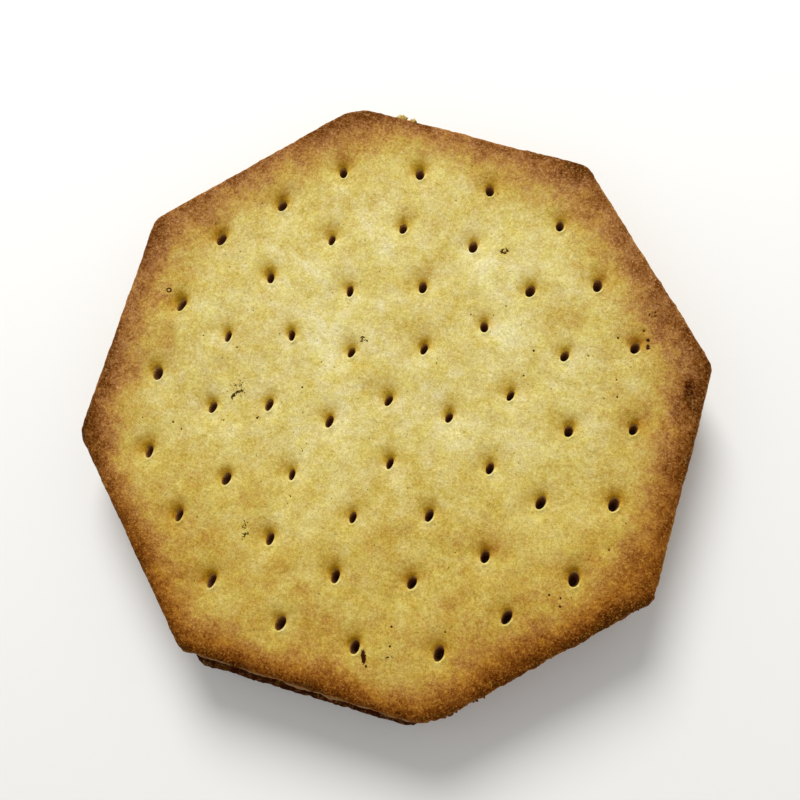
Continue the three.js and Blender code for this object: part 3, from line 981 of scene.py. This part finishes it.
def makeLumps(name, wanted, material):
    # many small crooked lumps in one piece: centre, three half sizes, turn in degrees, seed
    verts, faces = [], []
    for centre, sizes, degrees, seed in wanted:
        crooked = lumpVerts * (1 + 0.9 * noiseAt(lumpVerts, 0.8, seed))[:, None]
        turn = np.array(Matrix.Rotation(math.radians(degrees), 3, "Z"))
        shaped = (crooked * np.array(sizes)) @ turn.T + np.array(centre)
        start = len(verts) * len(lumpVerts)
        verts.append(shaped)
        faces += [tuple(start + i for i in f) for f in lumpFaces]
    piece = makePiece(name, np.concatenate(verts) * mm, faces, material)
    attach(piece, "root")
    return piece


def makeScallionBits(material):
    rng = random.Random(bits["seed"])
    spots, sizes = [], []
    for place, halfLong, halfWide, degrees, count, size in bits["clusters"]:
        for _ in range(count):
            a, b = rng.gauss(0, 0.5) * halfLong, rng.gauss(0, 0.5) * halfWide
            spots.append(np.array(place) + a * along(degrees) + b * along(degrees + 90))
            sizes.append(rng.uniform(*size))
    for _ in range(bits["strays"]):
        spots.append(bits["strayReach"] * math.sqrt(rng.random()) * along(360 * rng.random()))
        sizes.append(rng.uniform(*bits["straySize"]))
    spots = np.array(spots)
    heights, _, _ = faceHeights(topShape, spots, pinHoles(topShape), markList(topShape), False)
    made = []
    for k, (spot, size, height) in enumerate(zip(spots, sizes, heights)):
        half = (size * rng.uniform(0.7, 1.2), size * rng.uniform(0.3, 0.6), 0.04 + 0.1 * size)
        centre = (*(spot + np.array(topShape["middlePin"])), height + topShape["innerFace"])
        made.append((centre, half, 180 * rng.random(), 40 + k))
    makeLumps("scallion_bits", made, material)


def makeCrumbs(material):
    rng = random.Random(crumbs["seed"])
    wanted = list(crumbs["single"])
    for start, end, count, size in crumbs["stretches"]:
        for _ in range(count):
            t = rng.random()
            spot = np.array(start) * (1 - t) + np.array(end) * t
            wanted.append((tuple(spot), rng.uniform(*crumbs["heights"]), rng.uniform(*size),
                           rng.uniform(*crumbs["shades"])))
    made, shades = [], []
    for k, (spot, height, size, shade) in enumerate(wanted):
        spot = np.array(spot)
        sunk, more = crumbs["sunk"]
        out = insetOf(topShape, spot[None])[0] - sunk - more * abs(height - crumbs["widestLevel"])
        spot = spot * (1 + out / np.hypot(*spot))  # onto the wall
        centre = (*(spot + np.array(topShape["middlePin"])), height + topShape["innerFace"])
        half = (size * rng.uniform(0.7, 1.1), size * rng.uniform(0.5, 0.9), size * rng.uniform(0.5, 0.9))
        made.append((centre, half, 180 * rng.random(), 140 + k))
        shades += [shade] * len(lumpVerts)
    piece = makeLumps("edge_crumbs", made, material)
    setAttribute(piece, "baked", shades)
    for key in ("pit", "dentShade", "caramel", "crumb", "stain"):
        setAttribute(piece, key, np.zeros(len(shades)))


makeScallionBits(plainMaterial("dried_scallion", bits["look"]))
makeCrumbs(crustBaked)
print("bits and crumbs done")


# table, light and camera

studio = {
    "tableColor": "#F4F3F0",
    "tableHalf": 1.5,  # metres, as are the lamp's size and distance
    "keyEnergy": 1.5,
    "keySize": 0.20,
    "keyDistance": 0.42,
    "keyHeight": 44,  # degrees over the table
    "keyAzimuth": 114,
    "roomLight": 0.5,
}
view = {
    # mm and degrees; the aim is measured from the middle pin, on the docked face
    "distance": 92.0,
    "tilt": 11.36,
    "azimuth": -46.47,
    "aim": (1.154, 0.385),
    "imageUp": 106.72,
    "lens": 40.65,
}


def makeTable():
    # pale painted board: matt, so it shows a soft shadow and no reflection
    material, tree = newMaterial("pale_table")
    shader = addNode(tree, "ShaderNodeBsdfPrincipled", {},
                     {"Base Color": toLinear(studio["tableColor"]), "Roughness": 0.9})
    addNode(tree, "ShaderNodeOutputMaterial", {}, {}, {"Surface": shader.outputs[0]})
    half = studio["tableHalf"]
    corners = [(-half, -half, 0), (half, -half, 0), (half, half, 0), (-half, half, 0)]
    makePiece("table", corners, [(0, 1, 2, 3)], material, smooth=False)


def makeLight():
    world = bpy.data.worlds.new("soft_white_room")
    bpy.context.scene.world = world
    world.use_nodes = True
    background = world.node_tree.nodes["Background"]
    background.inputs["Color"].default_value = toLinear("#FFFFFF")
    background.inputs["Strength"].default_value = studio["roomLight"]
    key = bpy.data.lights.new("key", "AREA")
    key.shape = "DISK"
    key.size = studio["keySize"]
    key.energy = studio["keyEnergy"]
    lamp = bpy.data.objects.new("key", key)
    flat = math.cos(math.radians(studio["keyHeight"]))
    spot = Vector((*(along(studio["keyAzimuth"]) * flat), math.sin(math.radians(studio["keyHeight"]))))
    lamp.location = spot * studio["keyDistance"]
    lamp.rotation_euler = spot.to_track_quat("Z", "Y").to_euler()
    bpy.context.scene.collection.objects.link(lamp)


def makeCamera():
    data = bpy.data.cameras.new("camera")
    data.lens = view["lens"]
    data.sensor_width = 36
    data.clip_start = 0.005
    eye = bpy.data.objects.new("camera", data)
    tilt = math.radians(view["tilt"])
    away = Vector((*(along(view["azimuth"]) * math.sin(tilt)), math.cos(tilt)))
    aim = Vector((*(np.array(topShape["middlePin"]) + np.array(view["aim"])), topHigh.z / mm))
    right = (-away).cross(Vector((*along(view["imageUp"]), 0))).normalized()
    turn = Matrix((right, away.cross(right), away)).transposed().to_4x4()
    eye.matrix_world = Matrix.Translation((aim + away * view["distance"]) * mm) @ turn
    bpy.context.scene.collection.objects.link(eye)
    bpy.context.scene.camera = eye


makeTable()
makeLight()
makeCamera()
bpy.context.scene.view_settings.view_transform = "Standard"
print("table, light and camera done")
